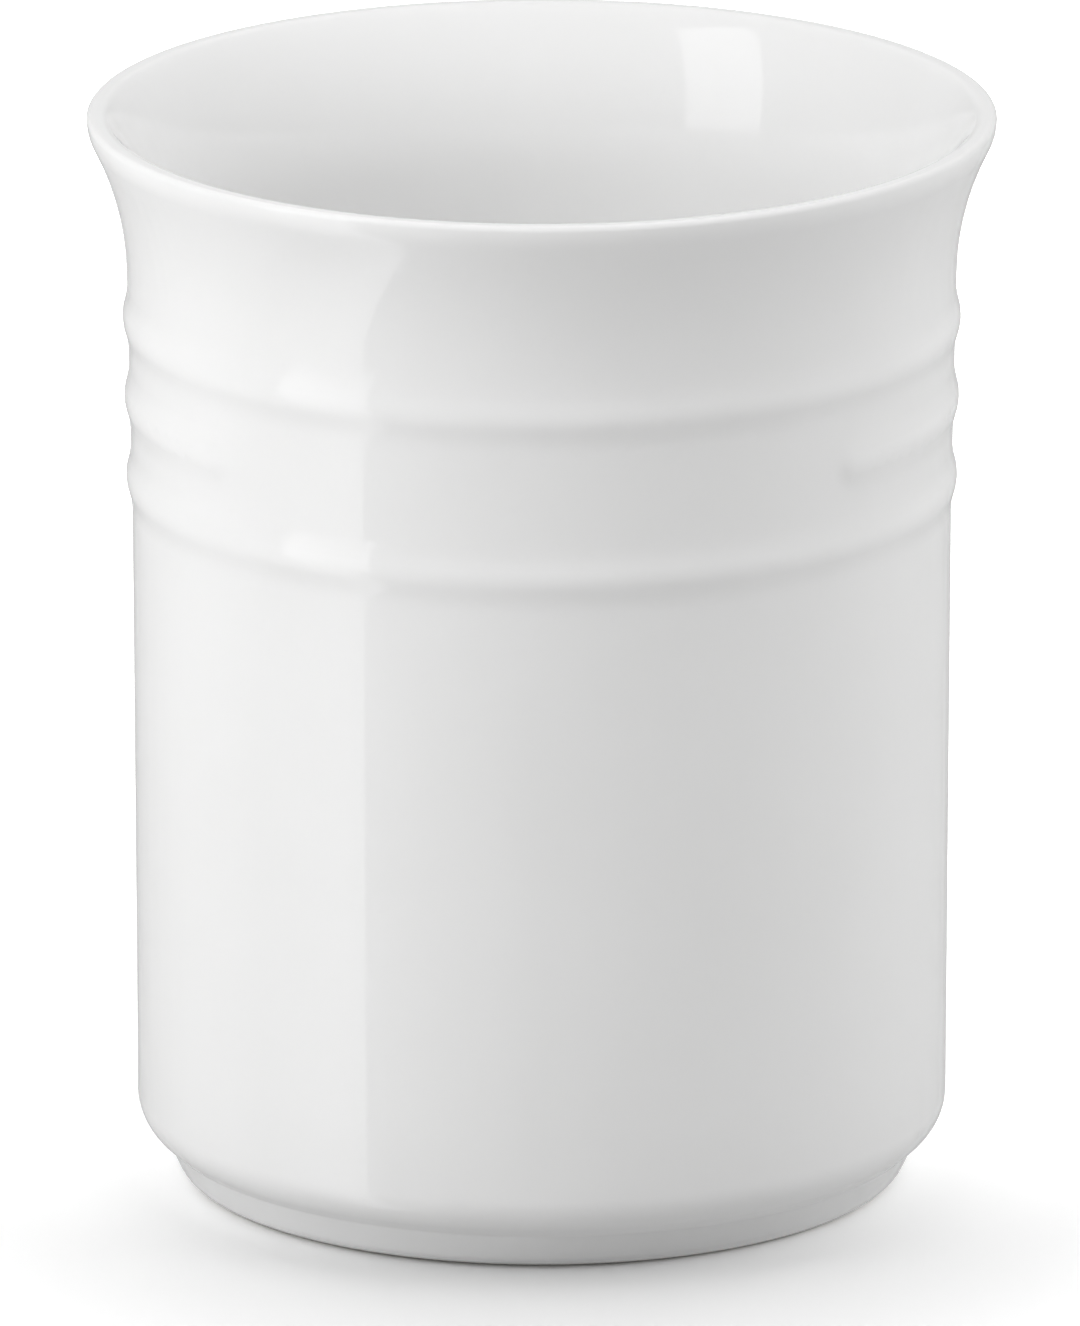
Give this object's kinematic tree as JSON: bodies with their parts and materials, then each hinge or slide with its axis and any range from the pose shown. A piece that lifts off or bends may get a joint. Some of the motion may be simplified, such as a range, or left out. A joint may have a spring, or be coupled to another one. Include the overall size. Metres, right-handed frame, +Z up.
{
  "type": "utensil crock",
  "caption": "Round glazed stoneware crock with a flared rim, soft raised rings on its collar and a narrow foot, open at the top to hold kitchen utensils upright.",
  "frame": {"origin": "centre of the circle that the foot stands on", "axes": "+Z up along the crock's axis, -Y towards the plain front between the ends of the middle ring, +X to the right seen from the front"},
  "size_m": [0.126, 0.126, 0.152],
  "materials": {
    "bare_stoneware": "matte, unglazed",
    "white_glaze": "gloss"
  },
  "bodies": {
    "root": {"stoneware_body": "bare_stoneware", "outer_glaze": "white_glaze", "inner_glaze": "white_glaze", "base_glaze": "white_glaze"}
  },
  "joints": []
}
